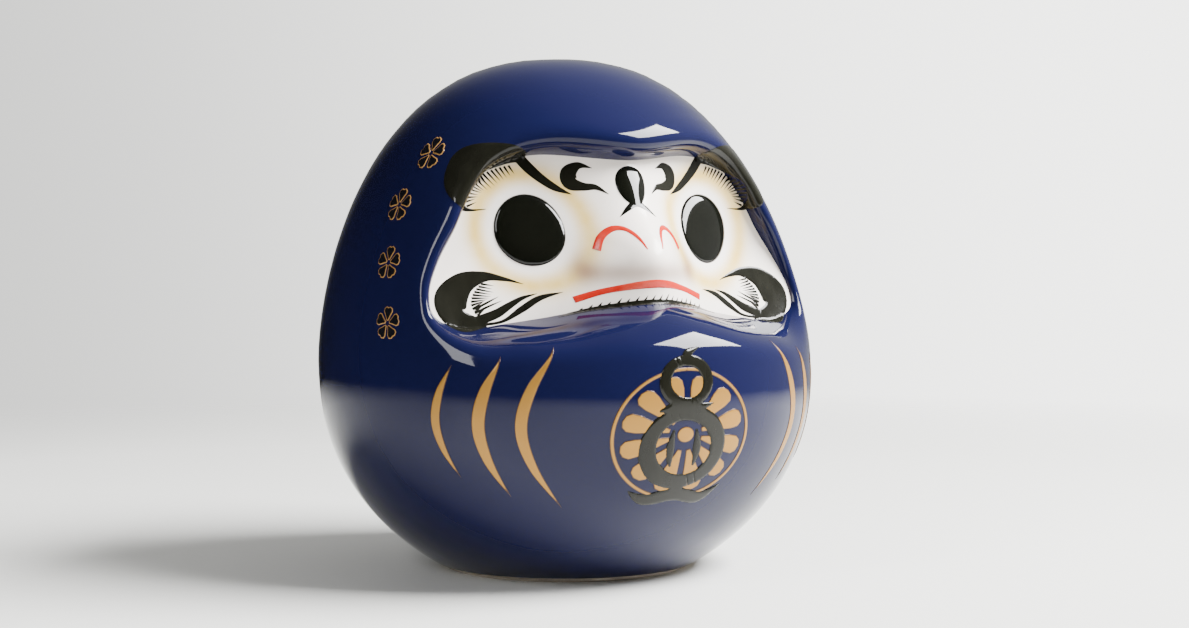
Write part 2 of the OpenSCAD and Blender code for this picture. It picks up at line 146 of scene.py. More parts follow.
class Finish:
    """A node-built material; read(...) adds any node and returns one of its outlets."""

    def __init__(self, name, **steady):
        self.material = bpy.data.materials.new(name)
        self.material.use_nodes = True
        self.tree = self.material.node_tree
        self.shader = self.tree.nodes["Principled BSDF"]
        for socket, value in steady.items():
            self.shader.inputs[socket.replace("_", " ")].default_value = value
        self.spot = self.read("ShaderNodeTexCoord", outlet="Object")

    def read(self, kind, settings=None, outlet=0, **sockets):
        node = self.tree.nodes.new(kind)
        for key, value in (settings or {}).items():
            setattr(node, key, value)
        for key, value in sockets.items():
            inlet = node.inputs[int(key[1:]) if key[1:].isdigit() else key.replace("_", " ")]
            if isinstance(value, Wire):
                self.tree.links.new(value.socket, inlet)
            else:
                inlet.default_value = value
        return Wire(self.tree, node.outputs[outlet])

    def noise(self, scale, detail=2.0, stretch=(1, 1, 1)):
        spot = self.read("ShaderNodeMapping", Vector=self.spot, Scale=stretch)
        return self.read("ShaderNodeTexNoise", Vector=spot, Scale=scale, Detail=detail)

    def mix(self, amount, first, second):
        """Colour between first and second."""
        return self.read("ShaderNodeMix", {"data_type": "RGBA"}, outlet=2, _0=amount, _6=first, _7=second)

    def set(self, **varying):
        for socket, wire in varying.items():
            self.tree.links.new(wire.socket, self.shader.inputs[socket.replace("_", " ")])

    def bump(self, height, depth):
        self.set(Normal=self.read("ShaderNodeBump", Strength=1.0, Distance=depth, Height=height))


def rgb(red, green, blue):
    """Shader colour of a paint, matched in 0 to 255."""
    paint = [level / 255 for level in (red, green, blue)]
    return tuple(((c + 0.055) / 1.055) ** 2.4 if c > 0.04 else c / 12.92 for c in paint) + (1,)


def pale_room():
    """Bright paper behind and to the doll's left, dim room in front, plain grey to the eye."""
    world = bpy.data.worlds.new("room")
    scene.world = world
    world.use_nodes = True
    tree = world.node_tree
    shade = tree.nodes["Background"]

    def node(kind, **settings):
        made = tree.nodes.new(kind)
        for key, value in settings.items():
            setattr(made, key, value)
        return made

    def toward(direction, low, high, dim, bright):
        dot = node("ShaderNodeVectorMath", operation="DOT_PRODUCT")
        tree.links.new(way.outputs["Generated"], dot.inputs[0])
        dot.inputs[1].default_value = Vector(direction).normalized()
        ramp = node("ShaderNodeMapRange", interpolation_type="SMOOTHSTEP")
        tree.links.new(dot.outputs["Value"], ramp.inputs["Value"])
        for key, value in {"From Min": low, "From Max": high, "To Min": dim, "To Max": bright}.items():
            ramp.inputs[key].default_value = value
        return ramp.outputs["Result"]

    way = node("ShaderNodeTexCoord")
    ray = node("ShaderNodeLightPath")
    seen = toward((0.88, -0.46, 0.1), low=-0.3, high=0.3, dim=1.25, bright=4.3)
    cast = toward((0.93, 0.12, 0.35), low=0.1, high=0.95, dim=0.02, bright=0.7)
    pick = node("ShaderNodeMix", data_type="FLOAT")
    tree.links.new(ray.outputs["Is Camera Ray"], pick.inputs[0])
    tree.links.new(cast, pick.inputs[2])
    tree.links.new(seen, pick.inputs[3])
    tree.links.new(pick.outputs[0], shade.inputs["Strength"])
    shade.inputs["Color"].default_value = (1.0, 1.0, 0.975, 1)


pale_room()


def table_top(reach):
    """Pale matt table, fading into the paper behind it."""
    bm = bmesh.new()
    bmesh.ops.create_circle(bm, cap_ends=True, segments=96, radius=reach)
    mesh = bpy.data.meshes.new("table_top")
    bm.to_mesh(mesh)
    bm.free()
    top = bpy.data.objects.new("table_top", mesh)
    scene.collection.objects.link(top)
    paper = Finish("table_paper", Roughness=0.42)
    away = paper.read("ShaderNodeVectorMath", {"operation": "LENGTH"}, outlet="Value", _0=paper.spot)
    grain = paper.noise(420, 3)
    paper.set(Base_Color=paper.mix(grain, rgb(231, 231, 227), rgb(236, 236, 232)),
              Alpha=1 - ((away - 0.55 * reach) / (0.42 * reach)).kept())
    top.data.materials.append(paper.material)


table_top(0.62)

# ---- cast body ---------------------------------------------------------------
# One hollow slip-cast piece of pale clay: egg-shaped robe, hood with a rounded
# lip, sunken face with a soft nose, foot ring, floor with the stopper's hole.
# Its form is drawn in millimetres at the size of the full doll.

robe_low, robe_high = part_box("blue_glaze")
ART_W, ART_H = 146.6, 150.0
WIDE = round(1000 * (robe_high.x - robe_low.x), 0) / ART_W
TALL = round(1000 * robe_high.z, 0) / ART_H
BARE = 1000 * robe_low.z
GLAZE = 0.8
WALL = 4.5
FOOT_R = 36.5
ROBE_R = ART_W / 2
WAIST = 61.0
TUCK = WAIST / (1 - (FOOT_R / WIDE / ROBE_R) ** 1.67) ** (1 / 2.33)
HOOD_BACK = 6.2
FACE_Z = 99.0
LIP = 8.0
EDGE_HALF = [(0, 119.5), (24, 121), (37, 117.5), (44, 109.5), (49, 100), (54.5, 91), (58, 83),
             (57.5, 76.5), (50, 73), (39, 74.2), (28, 75.9), (14, 78.7), (0, 80)]


def body_r(z):
    up = np.clip(1 - np.clip((z - WAIST) / (ART_H - WAIST), 0, 1) ** 1.65, 0, 1) ** (1 / 2.42)
    low = np.clip(1 - np.clip((WAIST - z) / TUCK, 0, 1) ** 2.33, 0, 1) ** (1 / 1.67)
    return ROBE_R * np.where(z > WAIST, up, low)


def lean(z):
    rise = np.clip((z - 40) / 110, 0, 1)
    return HOOD_BACK * rise * rise * (3 - 2 * rise)


def body_front(x, z, r):
    return np.sqrt(np.clip(r * r - x * x, 0, None)) - lean(z)


def hill(*parts):
    return np.exp(-sum(part * part for part in parts))


def face_front(x, z):
    return (27.5 + 0.12 * (97 - z) + 0.008 * np.clip(97 - z, 0, None) ** 2
            + 11.5 * hill(x / 27)
            + 9 * hill(x / 34, (z - 80) / 15)
            + 7 * hill(x / 15, (z - 94) / 9)
            + 6 * hill(x / 12, (z - 99) / 20))


def between(a, b, c, d, t):
    """Point at t on the smooth curve from b to c, which comes from a and goes on to d."""
    square = (2 * a - 5 * b + 4 * c - d) * t * t
    cube = (3 * b - a - 3 * c + d) * t ** 3
    return 0.5 * (2 * b + (c - a) * t + square + cube)


def ring_curve(points, steps):
    """Closed smooth curve through points."""
    a, b, c, d = (np.roll(points, k, 0)[:, None] for k in (1, 0, -1, -2))
    t = (np.arange(steps) / steps)[None, :, None]
    return between(a, b, c, d, t).reshape(-1, 2)


def open_curve(points, u):
    """Smooth curve through points or widths, at u from 0 to 1."""
    p = np.asarray(points, float)
    last = len(p) - 1
    s = np.minimum((np.asarray(u) * last).astype(int), last - 1)
    t = np.asarray(u) * last - s
    t = t[:, None] if p.ndim == 2 else t
    return between(p[np.maximum(s - 1, 0)], p[s], p[s + 1], p[np.minimum(s + 2, last)], t)


def outward(loop):
    t = np.roll(loop, -1, 0) - np.roll(loop, 1, 0)
    t /= np.linalg.norm(t, axis=1)[:, None]
    return np.stack([-t[:, 1], t[:, 0]], 1)


half = np.array(EDGE_HALF, float)
face_edge = np.vstack([half, half[-2:0:-1] * (-1, 1)])
fine_edge = ring_curve(face_edge, 12)


def lip_width(out, x):
    """Width of the lip at x on the face's edge, where out points outward. It is widest under the mouth."""
    up, down = np.clip(out[..., 1], 0, None), np.clip(-out[..., 1], 0, None)
    return LIP * (1 + 0.4 * up + 0.5 * down * (1 + hill(x / 24)))


def lip_mix(u):
    return (1 - np.clip(u, 0, 1)) ** 3


def skin_depth(x, z):
    """How far forward the finished surface lies at x and z."""
    spots = np.stack([np.ravel(x), np.ravel(z)], 1)[:, None]
    run = (np.roll(fine_edge, -1, 0) - fine_edge)[None]
    t = np.clip(((spots - fine_edge) * run).sum(2) / (run ** 2).sum(2), 0, 1)
    gap = np.linalg.norm(spots - fine_edge - run * t[..., None], axis=2)
    near = gap.argmin(1)
    along = run[0][near] / np.linalg.norm(run[0][near], axis=1)[:, None]
    out = np.stack([-along[:, 1], along[:, 0]], 1)
    beyond = ((spots[:, 0] - fine_edge[near]) * out).sum(1) > 0
    gap = gap[np.arange(len(near)), near]
    width = lip_width(out, spots[:, 0, 0] - gap * out[:, 0])
    m = np.where(beyond, lip_mix(gap / width), 1).reshape(np.shape(x))
    return m * face_front(x, z) + (1 - m) * body_front(x, z, body_r(z))


def ray_reach(ways, k):
    """How far rays from inside the body, level with the face, run before they leave a body of scale k."""
    low, high = np.zeros(len(ways)), np.full(len(ways), 180.0)
    for _ in range(34):
        mid = (low + high) / 2
        p = ways * mid[:, None] + (0, 0, FACE_Z)
        z = ART_H / 2 + (p[:, 2] - ART_H / 2) / k
        aside = np.hypot(p[:, 0], p[:, 1] - lean(p[:, 2]))
        out = (z >= ART_H) | (z <= WAIST - TUCK) | (aside > body_r(z) * k)
        high, low = np.where(out, mid, high), np.where(out, low, mid)
    return (low + high) / 2


FACE_ROWS = 34


def doll_rows(base_z, per=10, faces=FACE_ROWS, lips=14, backs=72, k=1.0, back=0.0, grow=0.0):
    """Rows of points from the face's centre over the lip and round the body to a level ring at base_z."""
    edge = ring_curve(face_edge, per)
    out = outward(edge)
    if grow:
        reach = 0.6 * lip_width(out, edge[:, 0]) + grow * np.abs(out[:, 1])
    else:
        reach = lip_width(out, edge[:, 0])

    def front(q, m):
        r = body_r(ART_H / 2 + (q[:, 1] - ART_H / 2) / k) * k
        depth = m * (face_front(q[:, 0], q[:, 1]) - back) + (1 - m) * body_front(q[:, 0], q[:, 1], r)
        return np.stack([q[:, 0], -depth, q[:, 1]], 1)

    mid = np.array([0, FACE_Z])
    rows = [front(mid + (edge - mid) * s, 1) for s in np.linspace(1 / faces, 1, faces)]
    for u in np.linspace(1 / lips, 1, lips):
        rows.append(front(edge + out * reach[:, None] * u, lip_mix(2 * u - 1 if grow else u)))
    # Round the back the rows run straight on a map of directions seen from below
    ways = rows[-1] - (0, 0, FACE_Z)
    ways /= np.linalg.norm(ways, axis=1)[:, None]
    start = ways[:, :2] / (1 + ways[:, 2:])
    ring_r = body_r(np.array(ART_H / 2 + (base_z - ART_H / 2) / k)) * k
    low = np.array([ring_r, base_z - FACE_Z]) / math.hypot(ring_r, base_z - FACE_Z)
    limit = low[0] / (1 + low[1])
    hub = np.array([0.0, -1.0])
    aim = (start - hub) / np.linalg.norm(start - hub, axis=1)[:, None]
    b = (aim * hub).sum(1)
    end = hub + aim * (-b + np.sqrt(b * b - 1 + limit ** 2))[:, None]
    for u in np.linspace(1 / backs, 1, backs):
        flat = start + (end - start) * u
        q = (flat ** 2).sum(1)
        way = np.stack([2 * flat[:, 0], 2 * flat[:, 1], 1 - q], 1) / (1 + q)[:, None]
        rows.append(way * ray_reach(way, k)[:, None] + (0, 0, FACE_Z))
    return [row * (WIDE, WIDE, TALL) for row in rows]


def sunk(rows, depth):
    """The same rows, a little way in along the surface's normal."""
    grid = np.array(rows)
    across = np.roll(grid, -1, 1) - np.roll(grid, 1, 1)
    along = np.gradient(grid, axis=0)
    normal = np.cross(across, along)
    normal /= np.linalg.norm(normal, axis=2)[..., None]
    return list(grid - normal * depth)


def level_ring(like, radius, z):
    """A level circle with a point for each point of the row it follows."""
    spin = np.arctan2(like[:, 1], like[:, 0])
    return np.stack([radius * np.cos(spin), radius * np.sin(spin), np.full(len(like), z)], 1)


def rows_mesh(name, rows, joined=False, first_tip=False, last_tip=False):
    """Smooth mesh through rows of points in millimetres; it can join end to start or close at a tip."""
    n = len(rows[0])
    points = [tuple(p) for row in rows for p in row / 1000]
    faces = []
    for i in range(len(rows) if joined else len(rows) - 1):
        here, there = i * n, (i + 1) % len(rows) * n
        faces += [(here + j, here + (j + 1) % n, there + (j + 1) % n, there + j) for j in range(n)]
    if first_tip:
        points.append(tuple(rows[0].mean(0) / 1000))
        faces += [((j + 1) % n, j, len(points) - 1) for j in range(n)]
    if last_tip:
        points.append(tuple(rows[-1].mean(0) / 1000))
        last = (len(rows) - 1) * n
        faces += [(last + j, last + (j + 1) % n, len(points) - 1) for j in range(n)]
    mesh = bpy.data.meshes.new(name)
    mesh.from_pydata(points, [], faces)
    mesh.shade_smooth()
    mesh.set_sharp_from_angle(angle=math.radians(50))
    piece = bpy.data.objects.new(name, mesh)
    scene.collection.objects.link(piece)
    return piece


SLOT_L = 34.0
SLOT_W = 5.0
SLOT_Z = TALL * ART_H - 45.0


def slot_cutter():
    """Long round-ended bar that cuts the coin slot through the back of the hood."""
    r = SLOT_W / 2
    half_run = (SLOT_L - SLOT_W) / 2
    turns = np.radians(np.arange(-90, 91, 10))
    right = np.stack([half_run + r * np.cos(turns), SLOT_Z + r * np.sin(turns)], 1)
    outline = np.vstack([right, (right - (0, SLOT_Z)) * -1 + (0, SLOT_Z)])
    rows = [np.stack([outline[:, 0], np.full(len(outline), y), outline[:, 1]], 1) for y in (110.0, 20.0)]
    return rows_mesh("slot_cutter", rows, first_tip=True, last_tip=True)


def cut_slot(piece):
    cutter = slot_cutter()
    cut = piece.modifiers.new("slot", "BOOLEAN")
    cut.operation, cut.solver, cut.object = "DIFFERENCE", "EXACT", cutter
    bpy.context.view_layer.update()
    mesh = bpy.data.meshes.new_from_object(piece.evaluated_get(bpy.context.evaluated_depsgraph_get()))
    piece.modifiers.remove(cut)
    piece.data = mesh
    bpy.data.objects.remove(cutter)
    mesh.set_sharp_from_angle(angle=math.radians(35))


def settle(piece, finish, slot, *nodes, body="doll"):
    """Gives a finished piece its material and its place in the doll."""
    piece.data.materials.clear()
    piece.data.materials.append(finish.material)
    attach(piece, body)
    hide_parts(*nodes)


clay = Finish("bare_clay", Roughness=0.82)
clay_cloud = clay.noise(55, 4)
clay_grain = clay.noise(900, 5)
clay.set(Base_Color=clay.mix(clay_cloud, rgb(214, 205, 192), rgb(196, 184, 168)))
clay.bump(clay_grain, 0.00012)

BORE_R = 14.0
RECESS = 3.4
FLOOR = 5.0
RING_W = 5.5


def cast_body():
    skin = sunk(doll_rows(BARE / TALL), GLAZE)
    base = skin[-1]
    hollow = doll_rows((RECESS + FLOOR) / TALL, faces=12, lips=4, backs=30,
                       k=1 - WALL / ROBE_R, back=WALL + GLAZE, grow=WALL + 2)
    inner = FOOT_R - RING_W
    ring = [(FOOT_R, BARE), (FOOT_R, 0.5), (FOOT_R - 0.15, 0.15), (FOOT_R - 0.5, 0),
            (inner + 0.6, 0), (inner + 0.15, 0.15), (inner, 0.6), (inner, RECESS)]
    bore = [(BORE_R + 0.5, RECESS), (BORE_R, RECESS + 0.5),
            (BORE_R, RECESS + FLOOR - 0.4), (BORE_R + 0.4, RECESS + FLOOR)]
    rows = skin + [level_ring(base, r, z) for r, z in ring + bore] + hollow[::-1]
    piece = rows_mesh("cast_body", rows, first_tip=True, last_tip=True)
    cut_slot(piece)
    settle(piece, clay, "ceramic", "ceramic_body")


cast_body()

# ---- cobalt glaze ------------------------------------------------------------
# Thick cobalt glaze poured over the hood, the lip and the robe. It stops just
# above the foot, so that the doll doesn't stick to the kiln shelf.

cobalt = Finish("cobalt_glaze", Roughness=0.05, Specular_IOR_Level=0.2)
cobalt_cloud = cobalt.noise(14, 3)
cobalt_ripple = cobalt.noise(75, 1)
cobalt.set(Base_Color=cobalt.mix(cobalt_cloud, rgb(14, 16, 43), rgb(18, 20, 54)))
cobalt.bump(cobalt_ripple, 0.0001)


def blue_coat():
    skin = doll_rows(BARE / TALL)
    under = sunk(skin, GLAZE)
    edge = FACE_ROWS - 1
    piece = rows_mesh("cobalt_coat", skin[edge:] + under[edge:][::-1], joined=True)
    cut_slot(piece)
    settle(piece, cobalt, "blue_glaze", "blue_glaze")


blue_coat()

# ---- white face glaze --------------------------------------------------------
# Warm white glaze in the sunken face, with an airbrushed yellow halo round
# each eye. A soft brown band under the nose is painted shade for the nose's shadow.

EYE = np.array([-28.2, 100])
EYE_X = -EYE[0] * WIDE / 1000
EYE_Z = EYE[1] * TALL / 1000
HALO_RX = 0.0094
HALO_RZ = 0.0100
porcelain = Finish("white_glaze", Roughness=0.22, Specular_IOR_Level=0.3)
across = porcelain.read("ShaderNodeSeparateXYZ", outlet=0, Vector=porcelain.spot)
upward = porcelain.read("ShaderNodeSeparateXYZ", outlet=2, Vector=porcelain.spot)
aside = (across.size() - EYE_X) / HALO_RX
above = (upward - EYE_Z) / HALO_RZ
from_eye = (aside * aside + above * above).root()
airbrush = porcelain.noise(160, 4)
halo = ((from_eye - 1.56) / 0.34).bell() * (0.70 + 0.45 * airbrush)
clean = ((from_eye - 1.08) / 0.16).bell() * 0.7
# Painted shade: brown under the nose's tip and beside its wings, where the nose casts its shadow.
painted_shade_below_tip = ((upward - 0.0882) / 0.003).bell() * (1 - ((across.size() - 0.014) / 0.008).kept())
painted_shade_beside_nose = ((across.size() - 0.017) / 0.0028).bell() * ((upward - 0.0895) / 0.005).bell()
painted_nose_shade = painted_shade_below_tip + 0.8 * painted_shade_beside_nose
base = porcelain.mix(airbrush, rgb(252, 244, 236), rgb(248, 238, 229))
warm = porcelain.mix(halo.kept(), base, rgb(229, 196, 112))
nose_shaded = porcelain.mix((painted_nose_shade * 0.6).kept(), warm, rgb(150, 118, 98))
porcelain.set(Base_Color=porcelain.mix(clean.kept(), nose_shaded, rgb(246, 240, 235)))
porcelain.bump(porcelain.noise(60, 1), 0.00015)


def white_face():
    skin = doll_rows(BARE / TALL, backs=3)[:FACE_ROWS]
    under = sunk(skin, GLAZE)
    piece = rows_mesh("white_face", skin + under[::-1], first_tip=True, last_tip=True)
    settle(piece, porcelain, "white_glaze", "white_face_glaze")


white_face()

# ---- painted enamels ---------------------------------------------------------
# Every painted mark is a thin layer of enamel fired onto the glaze. A mark is
# drawn flat as closed loops, which are joined, filled and laid on the doll. It
# rises to its full height a little way in, and its root is in the glaze.

ENAMEL = 0.16
RISE_IN = 0.4
ROOT = 0.08


def on_front(q):
    return np.stack([q[:, 0] * WIDE, -skin_depth(q[:, 0], q[:, 1]) * WIDE, q[:, 1] * TALL], 1)


def on_side(bearing, height):
    """Lays flat millimetres on the robe round a bearing and height on its right side."""
    def place(q):
        z = height + q[:, 1]
        angle = np.radians(-bearing) + q[:, 0] / body_r(np.array(height))
        r = body_r(z)
        return np.stack([r * np.sin(angle) * WIDE, -(r * np.cos(angle) - lean(z)) * WIDE, z * TALL], 1)
    return place


def facing(place, q, step=0.15):
    dx = place(q + (step, 0)) - place(q - (step, 0))
    dz = place(q + (0, step)) - place(q - (0, step))
    normal = np.cross(dx, dz)
    return normal / np.linalg.norm(normal, axis=1)[:, None]


def brush(spine, left, right=None, steps=48):
    """Outline of a brush stroke from half widths to its left and right."""
    u = np.linspace(0, 1, steps + 1)
    at = open_curve(spine, u)
    t = np.gradient(at, axis=0)
    t /= np.linalg.norm(t, axis=1)[:, None]
    turn = np.stack([t[:, 1], -t[:, 0]], 1)
    l = np.clip(open_curve(left, u), 0.03, None)[:, None]
    r = np.clip(open_curve(left if right is None else right, u), 0.03, None)[:, None]
    return np.vstack([at + turn * r, (at - turn * l)[::-1]])


def oval(mid, rx, rz, steps=64):
    a = np.linspace(0, 2 * np.pi, steps, endpoint=False)
    return np.stack([mid[0] + rx * np.cos(a), mid[1] + rz * np.sin(a)], 1)


def within(loop, spots):
    """Whether each spot lies inside a closed loop."""
    a, b = loop, np.roll(loop, -1, 0)
    x, z = spots[:, :1], spots[:, 1:]
    rise = b[:, 1] - a[:, 1]
    crossed = ((a[:, 1] > z) != (b[:, 1] > z)) & (
        x < a[:, 0] + (z - a[:, 1]) / np.where(rise == 0, 1, rise) * (b[:, 0] - a[:, 0]))
    return (crossed * np.sign(rise)).sum(1) != 0


def within_any(loops, spots):
    return np.any([within(loop, spots) for loop in loops], axis=0)


def fill(loops, grain):
    """Triangles over the union of the loops, with inner points grain apart."""
    every = np.vstack(loops)
    low, high = every.min(0), every.max(0)
    gx, gz = np.meshgrid(np.arange(low[0], high[0], grain), np.arange(low[1], high[1], grain * 0.87))
    gx[1::2] += grain / 2
    inner = np.stack([gx.ravel(), gz.ravel()], 1)
    points = [Vector(p) for p in np.vstack([every, inner[within_any(loops, inner)]])]
    edges, start = [], 0
    for loop in loops:
        n = len(loop)
        edges += [(start + i, start + (i + 1) % n) for i in range(n)]
        start += n
    verts, _, tris = geometry.delaunay_2d_cdt(points, edges, [], 0, 1e-5)[:3]
    flat, tris = np.array([v[:] for v in verts]), np.array(tris)
    a, b, c = (flat[tris[:, i]] for i in range(3))
    turn = (b[:, 0] - a[:, 0]) * (c[:, 1] - a[:, 1]) - (b[:, 1] - a[:, 1]) * (c[:, 0] - a[:, 0])
    tris[turn < 0] = tris[turn < 0][:, ::-1]
    tris = tris[within_any(loops, (a + b + c) / 3) & (np.abs(turn) > 1e-7)]
    used, tris = np.unique(tris, return_inverse=True)
    return flat[used], tris.reshape(-1, 3)


def edge_runs(tris):
    """Boundary edges of a sheet of triangles, in the direction the triangles go round."""
    seen = {(a, b) for t in tris for a, b in ((t[0], t[1]), (t[1], t[2]), (t[2], t[0]))}
    return [(a, b) for a, b in seen if (b, a) not in seen]


def lay_enamel(name, loops, place, grain=0.7, lift=ENAMEL, dome=None, mirrored=False):
    """Thin closed layer of enamel over loops, thinnest at its own edge.

    It records how far each point is from that edge, in millimetres, as the attribute "inset".
    """
    flat, tris = fill(loops, grain)
    rim = edge_runs(tris)
    a, b = flat[[e[0] for e in rim]], flat[[e[1] for e in rim]]
    run = b - a
    inset = np.empty(len(flat))
    for first in range(0, len(flat), 4000):
        p = flat[first:first + 4000, None]
        t = np.clip(((p - a) * run).sum(2) / np.maximum((run ** 2).sum(1), 1e-12), 0, 1)
        inset[first:first + 4000] = np.linalg.norm(p - a - run * t[..., None], axis=2).min(1)
    up = place(flat)
    normal = facing(place, flat)
    swell = 1 - (1 - np.clip(inset / RISE_IN, 0, 1)) ** 2
    high = lift * (0.3 + 0.7 * swell) + (dome(flat) if dome else 0)
    points = np.vstack([up + normal * high[:, None], up - normal * ROOT])
    n = len(flat)
    faces = [tuple(t) for t in tris] + [tuple(n + i for i in t[::-1]) for t in tris]
    for i, j in rim:
        faces.append((j, i, n + i, n + j))
    if mirrored:
        points = points * (-1, 1, 1)
        faces = [f[::-1] for f in faces]
    mesh = bpy.data.meshes.new(name)
    mesh.from_pydata([tuple(p) for p in points / 1000], [], [tuple(int(i) for i in f) for f in faces])
    mesh.shade_smooth()
    mesh.set_sharp_from_angle(angle=math.radians(60))
    mark = mesh.attributes.new("inset", "FLOAT", "POINT")
    mark.data.foreach_set("value", np.concatenate([inset, inset]).astype(np.float32))
    piece = bpy.data.objects.new(name, mesh)
    scene.collection.objects.link(piece)
    return piece


def flat_strokes(name, path, closed, stroke, count, inputs):
    """Repeats a flat stroke along a path with Geometry Nodes, and returns each one's outline."""
    tree = bpy.data.node_groups.new(name, "GeometryNodeTree")
    sheet = tree.interface
    sheet.new_socket("Path", in_out="INPUT", socket_type="NodeSocketGeometry")
    sheet.new_socket("Stroke", in_out="INPUT", socket_type="NodeSocketObject")
    for label, kind in (("Count", "NodeSocketInt"), ("Lean", "NodeSocketFloat"), ("Fan", "NodeSocketFloat"),
                        ("End Length", "NodeSocketFloat"), ("Middle Length", "NodeSocketFloat"),
                        ("Unevenness", "NodeSocketFloat"), ("Seed", "NodeSocketInt"),
                        ("Enamel", "NodeSocketMaterial")):
        sheet.new_socket(label, in_out="INPUT", socket_type=kind)
    sheet.new_socket("Strokes", in_out="OUTPUT", socket_type="NodeSocketGeometry")

    def add(kind, links=None, **settings):
        node = tree.nodes.new(kind)
        for key, value in settings.items():
            setattr(node, key, value)
        for inlet, value in (links or {}).items():
            if isinstance(value, bpy.types.NodeSocket):
                tree.links.new(value, node.inputs[inlet])
            else:
                node.inputs[inlet].default_value = value
        return node

    def math_node(operation, a, b):
        return add("ShaderNodeMath", {0: a, 1: b}, operation=operation).outputs[0]

    given = add("NodeGroupInput").outputs
    curve = add("GeometryNodeMeshToCurve", {"Mesh": given["Path"]}).outputs[0]
    spaced = add("GeometryNodeResampleCurve", {"Curve": curve, "Count": given["Count"]}).outputs[0]
    along = add("GeometryNodeSplineParameter").outputs["Factor"]
    arch = math_node("SINE", math_node("MULTIPLY", along, math.pi), 0.0)
    spare = math_node("SUBTRACT", given["Middle Length"], given["End Length"])
    length = math_node("ADD", given["End Length"], math_node("MULTIPLY", spare, arch))
    least = math_node("SUBTRACT", 1.0, given["Unevenness"])
    chance = add("FunctionNodeRandomValue", data_type="FLOAT")
    tree.links.new(least, chance.inputs[2])
    tree.links.new(given["Seed"], chance.inputs["Seed"])
    chance.inputs[3].default_value = 1.0
    size = math_node("MULTIPLY", length, chance.outputs[1])
    fanned = math_node("MULTIPLY", given["Fan"], math_node("SUBTRACT", along, 0.5))
    sway = math_node("ADD", given["Lean"], fanned)
    tangent = add("GeometryNodeInputTangent").outputs[0]
    heading = add("FunctionNodeAlignRotationToVector", {"Vector": tangent}, axis="X").outputs[0]
    spin = add("FunctionNodeAxisAngleToRotation", {"Axis": (0, 0, 1), "Angle": sway}).outputs[0]
    turned = add("FunctionNodeRotateRotation", {0: heading, 1: spin}).outputs[0]
    scale = add("ShaderNodeCombineXYZ", {"X": size, "Y": 1.0, "Z": 1.0}).outputs[0]
    model = add("GeometryNodeObjectInfo", {"Object": given["Stroke"]}).outputs["Geometry"]
    placed = add("GeometryNodeInstanceOnPoints", {"Points": spaced, "Instance": model,
                                                  "Rotation": turned, "Scale": scale}).outputs[0]
    real = add("GeometryNodeRealizeInstances", {0: placed}).outputs[0]
    painted = add("GeometryNodeSetMaterial", {"Geometry": real, "Material": given["Enamel"]}).outputs[0]
    add("NodeGroupOutput", {0: painted})

    def helper(label, points, edges, faces):
        mesh = bpy.data.meshes.new(label)
        mesh.from_pydata([(p[0], p[1], 0) for p in points], edges, faces)
        made = bpy.data.objects.new(label, mesh)
        scene.collection.objects.link(made)
        return made

    n = len(path)
    edges = [(i, i + 1) for i in range(n - 1)] + ([(n - 1, 0)] if closed else [])
    rail = helper(name + "_path", path, edges, [])
    model = helper(name + "_stroke", stroke, [], [list(range(len(stroke)))])
    grow = rail.modifiers.new(name, "NODES")
    grow.node_group = tree
    values = {"Stroke": model, "Count": count} | inputs
    for socket in sheet.items_tree:
        if socket.in_out == "INPUT" and socket.name in values:
            grow[socket.identifier] = values[socket.name]
    bpy.context.view_layer.update()
    made = bpy.data.meshes.new_from_object(rail.evaluated_get(bpy.context.evaluated_depsgraph_get()))
    corner = np.array([v.co[:2] for v in made.vertices])
    loops = [corner[list(face.vertices)] for face in made.polygons]
    for leftover in (rail, model):
        bpy.data.objects.remove(leftover)
    bpy.data.meshes.remove(made)
    return loops


def pair(name, loops, finish, slot, node, place=on_front, **more):
    """The same mark on the doll's right and, mirrored, on its left."""
    for side, mirrored in (("right", False), ("left", True)):
        piece = lay_enamel(f"{side}_{name}", loops, place, mirrored=mirrored, **more)
        settle(piece, finish, slot, f"{side}_{node}")


HAIR = [(0, -0.34), (0.35, -0.26), (0.7, -0.13), (1, 0), (0.72, 0.10), (0.4, 0.22), (0, 0.34)]

# ---- pupils ------------------------------------------------------------------
# Thick round pools of black enamel that stand up like buttons.

gloss_black = Finish("gloss_black", Roughness=0.05, Specular_IOR_Level=0.3)
black_cloud = gloss_black.noise(120, 2)
gloss_black.set(Base_Color=gloss_black.mix(black_cloud, rgb(9, 10, 7), rgb(17, 18, 13)))
PUPIL_RX = 9.3
PUPIL_RZ = 10.0


def pupil_dome(q):
    far = ((q - EYE) / (PUPIL_RX, PUPIL_RZ)) ** 2
    return 2.0 * np.clip(1 - far.sum(1), 0, None) ** 0.7


pair("eye_pupil", [oval(EYE, PUPIL_RX, PUPIL_RZ, 96)], gloss_black, "black_enamel", "pupil",
     dome=pupil_dome, grain=0.6)

# ---- brows, forehead marks, bridge mark --------------------------------------
# Black enamel brushed on: bushy brows that cross the lip and are combed on
# their inner side, a long stroke inside each, commas and a drop on the brow.

brush_black = Finish("brush_black", Specular_IOR_Level=0.22)
streaks = brush_black.noise(260, 4, (1, 1, 0.35))
brush_black.set(Base_Color=brush_black.mix(streaks, rgb(14, 14, 10), rgb(28, 28, 22)),
                Roughness=0.07 + 0.10 * streaks)

